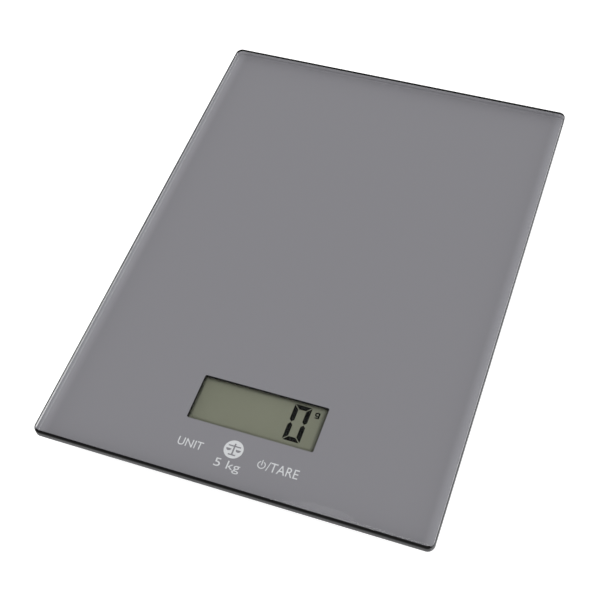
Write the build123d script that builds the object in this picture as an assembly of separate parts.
"""Slim digital kitchen scale: a back-painted glass platform bonded to a shallow plastic tray.

The tray stands on four rubber feet. Each foot pushes a plunger up against a bending load cell, and
the control board under the display reads the four cells. A coin cell sits in a well that opens to the
underside, closed by a small door on moulded hinge pins.

Frame: millimetres, +Z up, origin on the table at the centre of the footprint, -Y the user's side.
"""

from build123d import *
from math import atan2, cos, degrees, hypot, radians, sin, tan
import os

# ---- Glass platform -----------------------------------------------------------------------------
glass_width = 160.0
glass_length = 221.0
glass_thickness = 4.0
glass_corner_radius = 3.0
glass_arris = 0.9

# ---- Display window, in the paint behind the glass ------------------------------------------------
window_share = 0.325  # of the glass's width, where the board has room for it
window_height = 20.0
window_front_margin = 25.4  # from the glass's front edge to the window's front edge

# ---- Tray ---------------------------------------------------------------------------------------
foot_standoff = 2.4  # table to tray underside
tray_depth = 8.8
tray_wall = 1.6
tray_floor = 1.8
tray_draft = 8.0  # degrees
flange_inset = 5.0  # glass edge to flange edge
flange_overhang = 3.0  # flange edge to tray wall
flange_thickness = 1.6
flange_corner_radius = 10.0
tray_edge_radius = 2.0
tape_thickness = 0.8
tape_margin = 0.4
rib_height = 2.2
rib_thickness = 1.2

# ---- Load cells, feet and clamps ------------------------------------------------------------------
load_cell_size = 26.0
load_cell_thickness = 1.0
load_cell_corner_radius = 2.0
load_cell_height = 2.0  # tray floor to the load cell
load_cell_wall_gap = 0.2
tongue_width = 10.0
tongue_root = 8.0  # from the foot's axis towards the tray's middle
tongue_tip = 5.0  # from the foot's axis towards the tray's edge
tongue_slot = 1.6
pocket_wall = 1.2
pocket_clearance = 0.15
pocket_rim = 2.5
clamp_thickness = 1.6
clamp_ear = 6.0
clamp_screw_spacing = 18.0
potting_width = 8.0
potting_length = 7.0
foot_pad_radius = 8.0
foot_pad_height = 1.4
foot_pad_proud = 0.7
foot_disc_rim = 1.0
foot_travel = 0.5  # up to the load cell's full load
foot_stop_gap = 0.3  # left between the foot's disc and the tray at the end of that travel
foot_recess_depth = 0.6
foot_recess_clearance = 0.8
foot_stem_radius = 4.0
foot_stem_clearance = 0.4
foot_snap_lip = 1.2
foot_core_radius = 2.6
foot_button_radius = 1.6
foot_snap_gap = 0.4  # tray floor to the snap ring

# ---- Coin cell, its well and its door -------------------------------------------------------------
well_rear_margin = 72.0  # from the glass's rear edge to the well's centre
coin_radius = 10.0
coin_height = 3.2
coin_cap_step = 0.2
coin_cap_margin = 1.2
coin_room = 2.6  # coin cell to the well's walls
nest_clearance = 0.4
nest_wall = 1.2
well_wall = 1.8
well_skirt_height = 1.4
well_skirt_extra = 1.8
well_ceiling = 1.8
door_thickness = 1.6
door_clearance = 0.25
door_ledge = 1.2
door_seat_gap = 0.05
door_rib_height = 0.35
coin_seat_gap = 0.05
hinge_radius = 1.2
hinge_axis_height = 1.2  # above the tray underside
hinge_axis_setback = 0.9  # from the well's rear wall
hinge_pin_radius = 0.6
hinge_pin_length = 1.4
hinge_pin_clearance = 0.05
latch_width = 7.0
latch_thickness = 1.0
latch_height = 3.4
latch_nose = 0.6
latch_clearance = 0.08
scoop_radius = 7.0
scoop_depth = 0.9
contact_thickness = 0.25
contact_width = 4.0
contact_tab = 3.1  # how far a solder tab stands out of the well

# ---- Board, display and touch springs -------------------------------------------------------------
board_boss_height = 0.8
board_thickness = 1.6
board_side_gap = 1.3  # to the load cell pockets
board_edge_margin = 3.0  # screw centre to board edge
board_rear_margin = 3.6  # display frame to the board's rear edge
gasket_thickness = 1.2
gasket_window_margin = 0.15
lcd_side_margin = 3.0
lcd_front_margin = 2.7
lcd_ledge = 2.8
lcd_rear_margin = 5.3
lcd_glass_thickness = 1.2
lcd_clearance = 0.15
lcd_frame_wall = 1.8
lcd_shelf = 1.6
zebra_width = 1.8
zebra_clearance = 0.15
touch_spring_radius = 3.5
touch_spring_wire = 0.45
touch_spring_turns = 5
touch_spring_front_margin = 15.9  # from the glass's front edge
unit_key_share = 0.11875  # of the glass's width, to the left
tare_key_share = 0.10625  # of the glass's width, to the right
chip_width = 10.0
crystal_length = 7.0

# ---- Fasteners and wires --------------------------------------------------------------------------
screw_radius = 1.0
screw_clearance = 0.02
screw_head_radius = 1.9
screw_head_height = 1.2
screw_hole_radius = 1.2
screw_cross_width = 0.5
screw_cross_depth = 0.5
boss_wall = 1.8
screw_floor_skin = 0.5  # plastic left under a screw's pilot hole
wire_radius = 0.45
wire_pitch = 1.1
wire_lift = 0.05  # clearance over the board
wire_bend = 6.0
solder_length = 1.3
solder_height = 0.9
label_width = 44.0
label_height = 22.0
label_thickness = 0.15
label_front_margin = 80.0  # from the glass's front edge to the label's centre

# ---- Levels, worked out from the sizes above --------------------------------------------------------
floor_z = foot_standoff + tray_floor
rim_z = foot_standoff + tray_depth
glass_z = rim_z + tape_thickness
top_z = glass_z + glass_thickness
cell_z = floor_z + load_cell_height
clamp_z = cell_z + load_cell_thickness
board_z = floor_z + board_boss_height
board_top = board_z + board_thickness
lcd_top = glass_z - gasket_thickness
lcd_z = lcd_top - 2 * lcd_glass_thickness
wire_z = board_top + wire_radius + wire_lift
coin_z = foot_standoff + door_thickness + door_rib_height + coin_seat_gap
coin_top = coin_z + coin_height
ceiling_z = rim_z - well_ceiling
hinge_z = foot_standoff + hinge_axis_height

# ---- Plan positions ---------------------------------------------------------------------------------
front_y = -glass_length / 2
rear_y = glass_length / 2
wall_x = glass_width / 2 - flange_inset - flange_overhang
wall_y = glass_length / 2 - flange_inset - flange_overhang
wall_corner_radius = flange_corner_radius - flange_overhang
draft_in = tray_depth * tan(radians(tray_draft))
floor_draft_in = (rim_z - floor_z) * tan(radians(tray_draft))
cavity_x = wall_x - tray_wall
cavity_y = wall_y - tray_wall
foot_x = cavity_x - floor_draft_in - load_cell_wall_gap - pocket_wall - load_cell_size / 2
foot_y = cavity_y - floor_draft_in - load_cell_wall_gap - pocket_wall - load_cell_size / 2
pocket_half = load_cell_size / 2 + pocket_wall
foot_disc_top = foot_standoff + foot_recess_depth - foot_travel - foot_stop_gap
clamp_screw_y = load_cell_size / 2 + clamp_ear / 2
board_half = foot_x - pocket_half - board_side_gap
frame_room = board_half - board_edge_margin - screw_head_radius - 0.4
display_room = frame_room - lcd_frame_wall - lcd_clearance - lcd_side_margin
window_width = min(window_share * glass_width, 2 * display_room)
window_y = front_y + window_front_margin + window_height / 2
lcd_half = window_width / 2 + lcd_side_margin
unit_key_x = -unit_key_share * glass_width
tare_key_x = tare_key_share * glass_width
chip_x = (unit_key_x + tare_key_x) / 2
chip_gap = (tare_key_x - unit_key_x - chip_width) / 2 - touch_spring_radius
lcd_front = window_y - window_height / 2 - lcd_front_margin
lcd_rear = window_y + window_height / 2 + lcd_rear_margin
touch_y = front_y + touch_spring_front_margin
board_front = touch_y - touch_spring_radius - 0.5
board_rear = lcd_rear + lcd_clearance + lcd_frame_wall + board_rear_margin
wire_end_y = board_rear - solder_length - 0.4
well_y = rear_y - well_rear_margin
well_half = coin_radius + coin_room
recess_half = well_half + door_ledge
hinge_y = well_y + well_half + hinge_axis_setback
well_outer = well_half + well_wall
skirt_half = well_outer + well_skirt_extra
positive_x = coin_radius + 0.6

corners = {
    "front_left": (-foot_x, -foot_y, 0),
    "front_right": (foot_x, -foot_y, 0),
    "rear_left": (-foot_x, foot_y, 180),
    "rear_right": (foot_x, foot_y, 180),
}
board_screws = [
    (side * (board_half - board_edge_margin), y)
    for side in (-1, 1)
    for y in (board_front + board_edge_margin, board_rear - board_edge_margin + 0.5)
]


# ---- Helpers ----------------------------------------------------------------------------------------
def block(x0, x1, y0, y1, z0, z1):
    """A box between two opposite corners."""
    return Pos((x0 + x1) / 2, (y0 + y1) / 2, (z0 + z1) / 2) * Box(x1 - x0, y1 - y0, z1 - z0)


def disc(radius, z0, z1, x=0.0, y=0.0):
    """An upright cylinder between two levels."""
    return Pos(x, y, (z0 + z1) / 2) * Cylinder(radius, z1 - z0)


def slab(width, length, radius, z0, z1, x=0.0, y=0.0):
    """A plate with rounded corners between two levels."""
    return extrude(Pos(x, y, z0) * RectangleRounded(width, length, radius), z1 - z0)


def tapered_slab(half_x, half_y, radius, z0, z1):
    """A plate that widens upwards with the tray's draft; the half sizes are those at the rim."""
    inward = (rim_z - z0) * tan(radians(tray_draft))
    sketch = RectangleRounded(2 * (half_x - inward), 2 * (half_y - inward), max(radius - inward, 0.5))
    return extrude(Pos(0, 0, z0) * sketch, z1 - z0, taper=-tray_draft)


def rod_x(radius, x0, x1, y, z):
    """A cylinder lying along X."""
    return Pos((x0 + x1) / 2, y, z) * Rot(0, 90, 0) * Cylinder(radius, x1 - x0)


def at_corner(corner, shape):
    """Moves a piece drawn about a foot's axis, its +Y towards the tray's middle, to that corner."""
    x, y, turn = corners[corner]
    return Pos(x, y, 0) * Rot(0, 0, turn) * shape


def strip(points, width):
    """A sheet-metal strip whose centreline is drawn in the XY plane, extruded both ways along Z."""
    path = Polyline(*points)
    return extrude(trace(path, contact_thickness), width / 2, both=True)


def parallel(points, shift):
    """The plan route, shifted sideways by a constant distance, with mitred corners."""
    moved = []
    for i, (x, y, z) in enumerate(points):
        before = points[max(i - 1, 0)]
        after = points[min(i + 1, len(points) - 1)]
        first = (x - before[0], y - before[1]) if i else (after[0] - x, after[1] - y)
        second = (after[0] - x, after[1] - y) if i < len(points) - 1 else first
        normals = [(-dy / hypot(dx, dy), dx / hypot(dx, dy)) for dx, dy in (first, second)]
        nx = normals[0][0] + normals[1][0]
        ny = normals[0][1] + normals[1][1]
        scale = 2 * shift / (nx * nx + ny * ny)
        moved.append((x + nx * scale, y + ny * scale, z))
    return moved


def turn_sign(a, b, c):
    """+1 where the plan route turns left at b, -1 where it turns right, 0 where it goes straight."""
    cross = (b[0] - a[0]) * (c[1] - b[1]) - (b[1] - a[1]) * (c[0] - b[0])
    return 0 if abs(cross) < 1e-6 else (1 if cross > 0 else -1)


def wire(points, shift=0.0):
    """An insulated wire beside a route; its bends are concentric with the route's bends."""
    route = parallel(points, shift)
    radii = [
        wire_bend - turn_sign(points[i - 1], points[i], points[i + 1]) * shift
        for i in range(1, len(points) - 1)
    ]
    path = FilletPolyline(*route, radius=radii)
    start = Plane(origin=path @ 0, z_dir=path % 0)
    return sweep(start * Circle(wire_radius), path=path)


def loom(points):
    """Three wires side by side."""
    return [wire(points, shift) for shift in (-wire_pitch, 0.0, wire_pitch)]


def screw(x, y, seat, length):
    """A pan-head screw, its head's underside at the seat level."""
    shank = disc(screw_radius, seat - length, seat)
    head = disc(screw_head_radius, seat, seat + screw_head_height)
    head = fillet(head.edges().sort_by(Axis.Z)[-1], screw_head_height * 0.45)
    top = seat + screw_head_height
    for turn in (0, 90):
        arm = Box(2.2, screw_cross_width, 2 * screw_cross_depth)
        head -= Pos(0, 0, top) * Rot(0, 0, turn) * arm
    return Pos(x, y, 0) * (shank + head)


# ---- Pieces -----------------------------------------------------------------------------------------
def glass_platform():
    """The tempered glass, ground all round."""
    plate = slab(glass_width, glass_length, glass_corner_radius, glass_z, top_z)
    rims = plate.edges().group_by(Axis.Z)
    return chamfer(rims[0] + rims[-1], glass_arris)


def foam_tape():
    """Double-sided foam tape: a frame on the tray's flange and a patch on the coin cell's well."""
    outer = slab(
        2 * (wall_x + flange_overhang - tape_margin),
        2 * (wall_y + flange_overhang - tape_margin),
        flange_corner_radius - tape_margin,
        rim_z,
        glass_z,
    )
    inner = slab(2 * cavity_x, 2 * cavity_y, wall_corner_radius - tray_wall, rim_z, glass_z)
    patch_size = 2 * (well_outer - 2)
    patch = slab(patch_size, patch_size, 2, rim_z, glass_z, 0, well_y)
    return [outer - inner, patch]


def tray_shell():
    """The tray's drafted wall, floor and top flange."""
    body = tapered_slab(wall_x, wall_y, wall_corner_radius, foot_standoff, rim_z)
    body = fillet(body.edges().group_by(Axis.Z)[0], tray_edge_radius)
    flange = slab(
        2 * (wall_x + flange_overhang),
        2 * (wall_y + flange_overhang),
        flange_corner_radius,
        rim_z - flange_thickness,
        rim_z,
    )
    cavity = tapered_slab(cavity_x, cavity_y, wall_corner_radius - tray_wall, floor_z, rim_z)
    return body + flange - cavity


def tray_ribs():
    """Low stiffening ribs across the floor, clear of the wires above them."""
    top = floor_z + rib_height
    reach = cavity_x - 0.3
    rear_rib_y = foot_y - clamp_screw_y - boss_wall - 8.0
    across = [board_rear + 12.0, well_y - skirt_half - 8.0, rear_rib_y]
    ribs = [
        block(-reach, reach, y - rib_thickness / 2, y + rib_thickness / 2, floor_z, top) for y in across
    ]
    for x in (-skirt_half - 8.0, skirt_half + 8.0):
        ribs.append(block(x - rib_thickness / 2, x + rib_thickness / 2, across[0], across[-1], floor_z, top))
    return ribs


def wire_guides():
    """Pairs of posts that keep the rear looms against the tray's sides."""
    guides = []
    half = wire_pitch + wire_radius + 0.3
    for side in (-1, 1):
        for y in (board_rear + 30.0, well_y + 5.0):
            for edge in (-half - rib_thickness, half):
                x = side * foot_x + edge
                guides.append(block(x, x + rib_thickness, y, y + 5, floor_z, wire_z + 1.2))
    return guides


def load_cell_seat():
    """Pocket, screw posts and hook of one load cell, about the foot's axis."""
    outer = 2 * pocket_half
    inner = load_cell_size + 2 * pocket_clearance
    pocket = slab(outer, outer, load_cell_corner_radius + pocket_wall, floor_z, clamp_z - 0.2)
    pocket -= slab(inner, inner, load_cell_corner_radius, cell_z, clamp_z)
    bed = load_cell_size - 2 * pocket_rim
    pocket -= slab(bed, bed, 1.0, floor_z, cell_z)
    for x in (-clamp_screw_spacing / 2, clamp_screw_spacing / 2):
        post = disc(screw_radius + boss_wall, floor_z, clamp_z, x, clamp_screw_y)
        post -= block(x - 9, x + 9, 0, load_cell_size / 2 + pocket_clearance, cell_z, clamp_z)
        pocket += post
    back = -load_cell_size / 2 - 0.2
    hook_z = clamp_z + clamp_thickness + 0.1
    pocket += block(-3, 3, back - 1.4, back, floor_z, hook_z + 1.0)
    pocket += block(-3, 3, back, back + 1.3, hook_z, hook_z + 1.0)
    return pocket


def load_cell_cuts():
    """What one foot and its screws remove from the tray, about the foot's axis."""
    recess_radius = foot_pad_radius + foot_disc_rim + foot_recess_clearance
    cuts = [
        disc(recess_radius, foot_standoff - 1, foot_standoff + foot_recess_depth),
        disc(foot_stem_radius + foot_stem_clearance, foot_standoff, floor_z + 0.1),
    ]
    pilot = screw_radius + screw_clearance
    for x in (-clamp_screw_spacing / 2, clamp_screw_spacing / 2):
        cuts.append(disc(pilot, foot_standoff + screw_floor_skin, clamp_z + 0.1, x, clamp_screw_y))
    return cuts


def well_walls():
    """The coin cell's well: skirt round the door, walls, ceiling and the ring that centres the cell."""
    skirt_front = well_y - recess_half - well_wall
    skirt_rear = hinge_y + hinge_radius + door_clearance + well_wall
    skirt = block(-skirt_half, skirt_half, skirt_front, skirt_rear, floor_z, floor_z + well_skirt_height)
    walls = slab(2 * well_outer, 2 * well_outer, 2, floor_z, rim_z, 0, well_y)
    return [skirt, walls]


def well_cuts():
    """The door's recess, the well itself, the hinge groove and pin holes, the latch notch, the slots."""
    seat = foot_standoff + door_thickness + door_seat_gap
    low = foot_standoff - 1
    groove_half = hinge_radius + door_clearance
    nose_y = well_y - well_half - latch_nose / 2
    nose_z = seat + 2.05
    nose_reach = hypot(hinge_y - nose_y, nose_z - hinge_z) + latch_clearance
    lip_y = hinge_y - nose_reach
    pin_hole = hinge_pin_radius + hinge_pin_clearance
    pin_end = recess_half + hinge_pin_length
    slot_half = contact_thickness / 2 + 0.18
    half_latch = latch_width / 2 + 0.5
    return [
        block(-recess_half, recess_half, well_y - recess_half, hinge_y, low, seat),
        block(-well_half, well_half, well_y - well_half, well_y + well_half, seat - 0.1, ceiling_z),
        block(
            -recess_half,
            recess_half,
            hinge_y - groove_half,
            hinge_y + groove_half,
            low,
            hinge_z + groove_half,
        ),
        rod_x(pin_hole, -pin_end, pin_end, hinge_y, hinge_z),
        block(-half_latch, half_latch, lip_y, well_y, seat - 0.1, seat + latch_height + 0.2),
        block(-half_latch, half_latch, lip_y - 0.4, well_y, seat + 1.0, seat + latch_height + 0.2),
        disc(scoop_radius, low, foot_standoff + scoop_depth, 0, well_y - recess_half)
        & block(-20, 20, well_y - recess_half - 20, well_y - recess_half, low, rim_z),
        block(-2.3, 2.3, well_y - skirt_half - 3, well_y, ceiling_z - 2 * slot_half, ceiling_z),
        block(
            positive_x - slot_half,
            positive_x + slot_half,
            well_y - skirt_half - 3,
            well_y,
            coin_z + 0.5,
            coin_z + 3.1,
        ),
    ]


def coin_nest():
    """The ring under the well's ceiling that centres the coin cell, open at the latch and the contact."""
    ring = disc(coin_radius + nest_clearance + nest_wall, coin_z + 0.6, ceiling_z, 0, well_y)
    ring -= disc(coin_radius + nest_clearance, coin_z, ceiling_z, 0, well_y)
    room = well_half
    ring -= block(3, room, well_y - room, well_y + 5, coin_z, ceiling_z)
    half_latch = latch_width / 2 + 1
    ring -= block(-half_latch, half_latch, well_y - room, well_y, coin_z, ceiling_z)
    return ring


def base_tray():
    """The whole moulded tray."""
    tray = tray_shell()
    for rib in tray_ribs() + wire_guides() + well_walls():
        tray += rib
    for corner in corners:
        tray += at_corner(corner, load_cell_seat())
    for x, y in board_screws:
        tray += disc(screw_radius + boss_wall, floor_z, board_z, x, y)
    for cut in well_cuts():
        tray -= cut
    tray += coin_nest()
    for corner in corners:
        for cut in load_cell_cuts():
            tray -= at_corner(corner, cut)
    pilot = screw_radius + screw_clearance
    for x, y in board_screws:
        tray -= disc(pilot, foot_standoff + screw_floor_skin, board_z + 0.1, x, y)
    label_y = front_y + label_front_margin
    tray -= block(
        -label_width / 2 - 0.2,
        label_width / 2 + 0.2,
        label_y - label_height / 2 - 0.2,
        label_y + label_height / 2 + 0.2,
        foot_standoff - 1,
        foot_standoff + label_thickness,
    )
    return tray


def rating_label():
    """The blank rating label in its recess on the underside."""
    label_y = front_y + label_front_margin
    return slab(
        label_width, label_height, 1.5, foot_standoff, foot_standoff + label_thickness, 0, label_y
    )


def load_cell():
    """A stamped steel bending cell: a frame and a tongue that the foot pushes up."""
    size = load_cell_size
    plate = slab(size, size, load_cell_corner_radius, cell_z, clamp_z)
    half = tongue_width / 2 + tongue_slot
    opening = block(-half, half, -tongue_tip - tongue_slot, tongue_root, cell_z, clamp_z)
    opening = fillet(opening.edges().filter_by(Axis.Z), tongue_slot / 2 - 0.05)
    tongue = block(
        -tongue_width / 2, tongue_width / 2, -tongue_tip, tongue_root + 0.5, cell_z, clamp_z
    )
    return plate - opening + tongue


def gauge_potting():
    """Silicone over the strain gauge at the tongue's root."""
    y = tongue_root - potting_length / 2 + 1.0
    pad = slab(potting_width, potting_length, 1.5, clamp_z, clamp_z + clamp_thickness, 0, y)
    return fillet(pad.edges().group_by(Axis.Z)[-1], 0.4)


def load_cell_clamp():
    """The plastic clamp over the cell's frame, with two screw ears and a notch for the wires."""
    half = load_cell_size / 2
    top = clamp_z + clamp_thickness
    plate = block(-half, half, -half, half + clamp_ear, clamp_z, top)
    plate = fillet(plate.edges().filter_by(Axis.Z), 2.0)
    opening = tongue_width / 2 + tongue_slot + 0.9
    plate -= slab(
        2 * opening,
        tongue_root + tongue_tip + 5.0,
        1.5,
        clamp_z,
        top,
        0,
        (tongue_root - tongue_tip) / 2,
    )
    notch = wire_pitch + wire_radius + 0.6
    plate -= block(-notch, notch, tongue_root, half + clamp_ear, top - 2 * wire_radius - 0.1, top)
    for x in (-clamp_screw_spacing / 2, clamp_screw_spacing / 2):
        plate -= disc(screw_hole_radius, clamp_z, top, x, clamp_screw_y)
    return plate


def clamp_screws():
    """Two screws for each load cell clamp."""
    seat = clamp_z + clamp_thickness
    length = seat - foot_standoff - screw_floor_skin - 0.3
    return [
        at_corner(corner, screw(x, clamp_screw_y, seat, length))
        for corner in corners
        for x in (-clamp_screw_spacing / 2, clamp_screw_spacing / 2)
    ]


def foot_plunger():
    """The moulded foot: disc, stem, four snap fingers and the button that meets the load cell."""
    disc_z = foot_pad_proud
    body = disc(foot_pad_radius + foot_disc_rim, disc_z, foot_disc_top)
    body = fillet(body.edges().sort_by(Axis.Z)[0], 0.5)
    body -= disc(foot_pad_radius + 0.05, 0, foot_pad_height)
    stem_top = cell_z - 0.5
    snap_z = floor_z + foot_snap_gap
    stem = disc(foot_stem_radius, foot_disc_top, stem_top)
    lip = disc(foot_stem_radius + foot_snap_lip, snap_z, snap_z + 0.7)
    lip = chamfer(lip.edges().sort_by(Axis.Z)[-1], 0.5)
    stem += lip
    for turn in (0, 90):
        slot = block(-8, 8, -0.6, 0.6, foot_disc_top + 0.8, stem_top)
        stem -= Rot(0, 0, turn) * slot
    core = disc(foot_core_radius, foot_disc_top, stem_top)
    button = disc(foot_button_radius + 0.5, stem_top, cell_z)
    button = chamfer(button.edges().sort_by(Axis.Z)[-1], 0.45)
    return body + stem + core + button


def foot_pad():
    """The rubber pad in the plunger's cup, with a ring groove underneath."""
    pad = disc(foot_pad_radius, 0, foot_pad_height)
    pad = fillet(pad.edges().sort_by(Axis.Z)[0], 0.3)
    groove = disc(foot_pad_radius - 2.2, 0, 0.35) - disc(foot_pad_radius - 3.4, 0, 0.35)
    return pad - groove


def coin_cell():
    """The lithium coin cell, plus side down, its smaller negative cap up."""
    can = disc(coin_radius, coin_z, coin_top - coin_cap_step, 0, well_y)
    rims = can.edges().filter_by(GeomType.CIRCLE).sort_by(Axis.Z)
    can = fillet([rims[0], rims[-1]], 0.5)
    return can + disc(coin_radius - coin_cap_margin, coin_top - coin_cap_step, coin_top, 0, well_y)


def negative_contact():
    """The leaf on the well's ceiling that presses the cell's cap, and its solder tab."""
    strip_z = ceiling_z - contact_thickness / 2
    touch_z = coin_top + contact_thickness / 2
    tab_y = -well_outer - contact_tab
    points = [(tab_y, strip_z), (-3.0, strip_z), (3.5, touch_z), (6.0, touch_z + 0.7)]
    return Pos(0, well_y, 0) * Plane.YZ.location * strip(points, contact_width)


def positive_contact():
    """The leaf beside the coin cell that presses its rim, and its solder tab."""
    angle = radians(-25.0)
    reach = coin_radius + contact_thickness / 2 + 0.04
    tab_y = -well_outer - contact_tab
    room = well_half - contact_thickness
    points = [
        (positive_x, tab_y),
        (positive_x, -coin_radius + 1.0),
        (reach * cos(angle), reach * sin(angle)),
        (room, 0.5),
    ]
    return Pos(0, well_y, coin_z + 1.8) * strip(points, 2.2)


def battery_door():
    """The door: plate, hinge barrel with two pins, latch tab and the ribs under the coin cell."""
    half = recess_half - door_clearance
    front = well_y - recess_half + door_clearance
    low = foot_standoff
    high = low + door_thickness
    door = block(-half, half, front, hinge_y, low, high)
    door = fillet(door.edges().filter_by(Axis.Z).sort_by(Axis.Y)[:2], 1.2)
    door += rod_x(hinge_radius, -half, half, hinge_y, hinge_z)
    pin_reach = half + hinge_pin_length
    door += rod_x(hinge_pin_radius, -pin_reach, pin_reach, hinge_y, hinge_z)
    tab_back = well_y - well_half + 0.3
    seat = high + door_seat_gap
    tab_half = latch_width / 2
    tab_front = tab_back + latch_thickness
    door += block(-tab_half, tab_half, tab_back, tab_front, high - 0.2, high + latch_height)
    nose_z = seat + 2.05
    nose = Pos(0, tab_back + 0.3, nose_z) * Rot(0, 90, 0) * Cylinder(latch_nose, latch_width)
    door += nose & block(-tab_half, tab_half, tab_back - 2, tab_back + 0.5, low, high + 5)
    for x in (-5.0, 5.0):
        door += block(x - 0.5, x + 0.5, well_y - 6, well_y + 6, high, high + door_rib_height)
    door -= disc(5.0, low - 1, low + 0.8, 0, front)
    for i in range(3):
        y = front + 7.5 + 2.0 * i
        door -= block(-4, 4, y, y + 0.8, low - 1, low + 0.35)
    return door


def control_board():
    """The printed circuit board, with holes for its screws and the display frame's pegs."""
    board = slab(
        2 * board_half,
        board_rear - board_front,
        1.5,
        board_z,
        board_top,
        0,
        (board_rear + board_front) / 2,
    )
    for x, y in board_screws:
        board -= disc(screw_hole_radius, board_z, board_top, x, y)
    for x, y in frame_pegs():
        board -= disc(0.8, board_z, board_top, x, y)
    return board


def board_fixings():
    """The screws that hold the board to the tray."""
    length = board_top - foot_standoff - screw_floor_skin - 0.3
    return [screw(x, y, board_top, length) for x, y in board_screws]


def frame_pegs():
    """Where the display frame's pegs go through the board."""
    x = lcd_half + lcd_clearance + lcd_frame_wall / 2
    front = lcd_front - lcd_clearance - lcd_frame_wall / 2
    rear = lcd_rear + lcd_clearance + lcd_frame_wall / 2
    return [(-x, front), (x, front), (-x, rear), (x, rear)]


def lcd_frame():
    """The plastic frame that holds the display and the rubber connector to the board."""
    half = lcd_half + lcd_clearance + lcd_frame_wall
    front = lcd_front - lcd_clearance - lcd_frame_wall
    rear = lcd_rear + lcd_clearance + lcd_frame_wall
    frame = block(-half, half, front, rear, board_top, lcd_top)
    frame = fillet(frame.edges().filter_by(Axis.Z), 0.8)
    pocket_half_x = lcd_half + lcd_clearance
    frame -= block(
        -pocket_half_x, pocket_half_x, lcd_front - lcd_clearance, lcd_rear + lcd_clearance, lcd_z, lcd_top
    )
    shelf_x = lcd_half - lcd_shelf
    shelf_rear = lcd_rear - lcd_ledge - 1.2
    frame -= block(-shelf_x, shelf_x, lcd_front + lcd_shelf, shelf_rear, board_top, lcd_z)
    zebra_x = window_width / 2 - 2 + zebra_clearance
    zebra_y = lcd_rear - lcd_ledge / 2
    zebra_half = zebra_width / 2 + zebra_clearance
    frame -= block(-zebra_x, zebra_x, zebra_y - zebra_half, zebra_y + zebra_half, board_top, lcd_z)
    for x, y in frame_pegs():
        frame += disc(0.7, board_z, board_top, x, y)
    return frame


def lcd_front_glass():
    """The display's upper glass, which overhangs the lower one to carry the contacts."""
    return block(-lcd_half, lcd_half, lcd_front, lcd_rear, lcd_z + lcd_glass_thickness, lcd_top)


def lcd_rear_glass():
    """The display's lower glass with the reflector behind it."""
    rear = lcd_rear - lcd_ledge
    return block(-lcd_half, lcd_half, lcd_front, rear, lcd_z, lcd_z + lcd_glass_thickness)


def zebra_strip():
    """The rubber connector between the display's ledge and the board."""
    half = window_width / 2 - 2
    y = lcd_rear - lcd_ledge / 2
    top = lcd_z + lcd_glass_thickness
    return block(-half, half, y - zebra_width / 2, y + zebra_width / 2, board_top, top)


def lcd_gasket():
    """The black foam frame between the glass and the display."""
    outer = block(-lcd_half, lcd_half, lcd_front, lcd_rear, lcd_top, glass_z)
    half = window_width / 2 + gasket_window_margin
    y_half = window_height / 2 + gasket_window_margin
    return outer - slab(2 * half, 2 * y_half, 0.8, lcd_top, glass_z, 0, window_y)


def touch_spring(x):
    """A coil spring with ground ends, from the board to the back of the glass under a touch key."""
    height = glass_z - board_top
    coil = Helix(height / touch_spring_turns, height, touch_spring_radius - touch_spring_wire / 2)
    start = Plane(origin=coil @ 0, z_dir=coil % 0)
    wound = sweep(start * Circle(touch_spring_wire / 2), path=coil, is_frenet=True)
    reach = touch_spring_radius + 1
    return Pos(x, touch_y, board_top) * (wound & block(-reach, reach, -reach, reach, 0, height))


def controller_blob():
    """The black epoxy over the controller die, under the display."""
    blob = disc(4.5, board_top, board_top + 1.1, 0, window_y)
    return fillet(blob.edges().sort_by(Axis.Z)[-1], 1.0)


def adc_chip():
    """The load cell amplifier: a 16-pin package between the touch springs."""
    half = chip_width / 2
    body = block(
        chip_x - half, chip_x + half, touch_y - 1.9, touch_y + 1.9, board_top + 0.15, board_top + 1.65
    )
    pieces = [chamfer(body.edges().group_by(Axis.Z)[-1], 0.3)]
    for i in range(8):
        lead_x = chip_x - 4.445 + 1.27 * i
        for y in (touch_y - 3.0, touch_y + 1.9):
            pieces.append(block(lead_x - 0.2, lead_x + 0.2, y, y + 1.1, board_top, board_top + 0.25))
    return pieces


def crystal():
    """The clock crystal between the chip and the right touch spring."""
    length = min(crystal_length, chip_gap - 1.2)
    x = chip_x + (chip_width + chip_gap) / 2
    can = slab(length, 3.2, 1.5, board_top, board_top + 3.2, x, touch_y)
    return fillet(can.edges().group_by(Axis.Z)[-1], 0.4)


def chip_row(share, length, width, height):
    """Three small components in a row between the chip and the left touch spring."""
    x = chip_x - chip_width / 2 - share * chip_gap
    return [
        block(x - length / 2, x + length / 2, y - width / 2, y + width / 2, board_top, board_top + height)
        for y in (touch_y - 2.4, touch_y, touch_y + 2.4)
    ]


def board_capacitors():
    """The small capacitors, next to the chip."""
    return chip_row(0.32, 2.0, 1.3, 1.2)


def board_resistors():
    """The small resistors, next to the capacitors."""
    return chip_row(0.68, 2.0, 1.2, 0.5)


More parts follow.
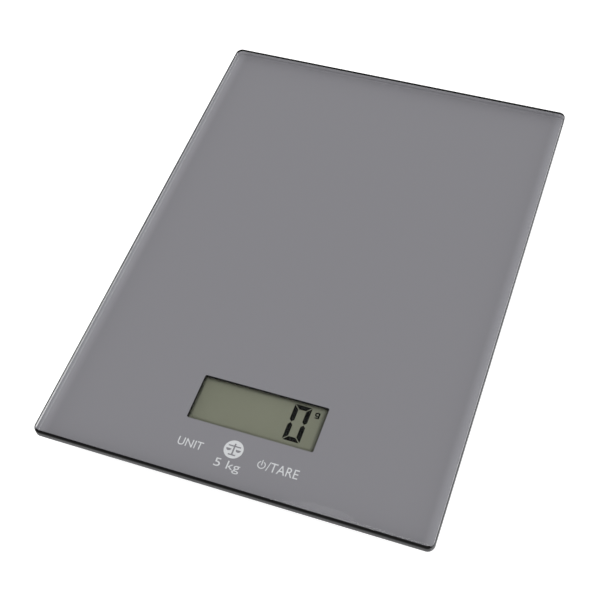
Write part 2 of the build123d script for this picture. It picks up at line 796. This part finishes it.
def loom_routes():
    """The plan route of each load cell's wires, from its potting to the board's rear edge."""
    potting_y = tongue_root + 1.0
    notch_z = clamp_z + clamp_thickness - wire_radius - 0.05
    ear_end = load_cell_size / 2 + clamp_ear
    routes = {}
    for side, name in ((-1, "left"), (1, "right")):
        x = side * foot_x
        front_end = side * (board_half - 10.0)
        rear_end = side * (board_half - 18.0)
        routes["front_" + name] = [
            (x, -foot_y + potting_y, notch_z),
            (x, -foot_y + ear_end + 1.0, notch_z),
            (x, -foot_y + ear_end + 5.0, wire_z),
            (x, board_rear + 7.5, wire_z),
            (front_end, board_rear + 7.5, wire_z),
            (front_end, wire_end_y, wire_z),
        ]
        routes["rear_" + name] = [
            (x, foot_y - potting_y, notch_z),
            (x, foot_y - ear_end - 1.0, notch_z),
            (x, foot_y - ear_end - 5.0, wire_z),
            (x, board_rear + 17.0, wire_z),
            (rear_end, board_rear + 17.0, wire_z),
            (rear_end, wire_end_y, wire_z),
        ]
    return routes


def battery_wires():
    """The two wires from the coin cell's contacts to the board."""
    tab_y = well_y - well_outer - contact_tab
    strip_z = ceiling_z - contact_thickness / 2
    negative = [
        (0, tab_y, strip_z),
        (0, tab_y - 3.0, strip_z),
        (0, tab_y - 12.0, wire_z),
        (0, wire_end_y, wire_z),
    ]
    positive = [
        (positive_x, tab_y, wire_z),
        (positive_x, tab_y - 14.0, wire_z),
        (4.0, tab_y - 26.0, wire_z),
        (4.0, wire_end_y, wire_z),
    ]
    return wire(negative), wire(positive)


def solder_joints():
    """A fillet of solder at the board end of every wire."""
    places = [0.0, 4.0]
    for route in loom_routes().values():
        end = route[-1][0]
        places += [end - wire_pitch, end, end + wire_pitch]
    joints = []
    for x in places:
        front = wire_end_y - solder_length
        joint = block(x - 0.45, x + 0.45, front, wire_end_y, board_top, board_top + solder_height)
        joints.append(fillet(joint.edges().group_by(Axis.Z)[-1], 0.3))
    return joints


def write(name, shape):
    """Writes one node; a list is a group of separate solids."""
    solids = shape if isinstance(shape, (list, tuple)) else [shape]
    pieces = [solid for item in solids for solid in item.solids()]
    export_step(pieces[0] if len(pieces) == 1 else Compound(children=pieces), f"parts/{name}.step")


def main():
    """Builds and writes every node."""
    os.makedirs("parts", exist_ok=True)
    write("glass_platform", glass_platform())
    write("foam_tape", foam_tape())
    write("base_tray", base_tray())
    write("rating_label", rating_label())
    write("clamp_screws", clamp_screws())
    routes = loom_routes()
    for corner in corners:
        write("load_cell_" + corner, at_corner(corner, load_cell()))
        write("gauge_potting_" + corner, at_corner(corner, gauge_potting()))
        write("load_cell_clamp_" + corner, at_corner(corner, load_cell_clamp()))
        write("foot_plunger_" + corner, at_corner(corner, foot_plunger()))
        write("foot_pad_" + corner, at_corner(corner, foot_pad()))
        write("cell_wires_" + corner, loom(routes[corner]))
    write("coin_cell", coin_cell())
    write("negative_contact", negative_contact())
    write("positive_contact", positive_contact())
    write("battery_door", battery_door())
    negative, positive = battery_wires()
    write("battery_wire_negative", negative)
    write("battery_wire_positive", positive)
    write("control_board", control_board())
    write("board_screws", board_fixings())
    write("lcd_frame", lcd_frame())
    write("lcd_front_glass", lcd_front_glass())
    write("lcd_rear_glass", lcd_rear_glass())
    write("lcd_gasket", lcd_gasket())
    write("zebra_strip", zebra_strip())
    write("touch_spring_unit", touch_spring(unit_key_x))
    write("touch_spring_tare", touch_spring(tare_key_x))
    write("controller_blob", controller_blob())
    write("adc_chip", adc_chip())
    write("crystal", crystal())
    write("board_capacitors", board_capacitors())
    write("board_resistors", board_resistors())
    write("solder_joints", solder_joints())


main()
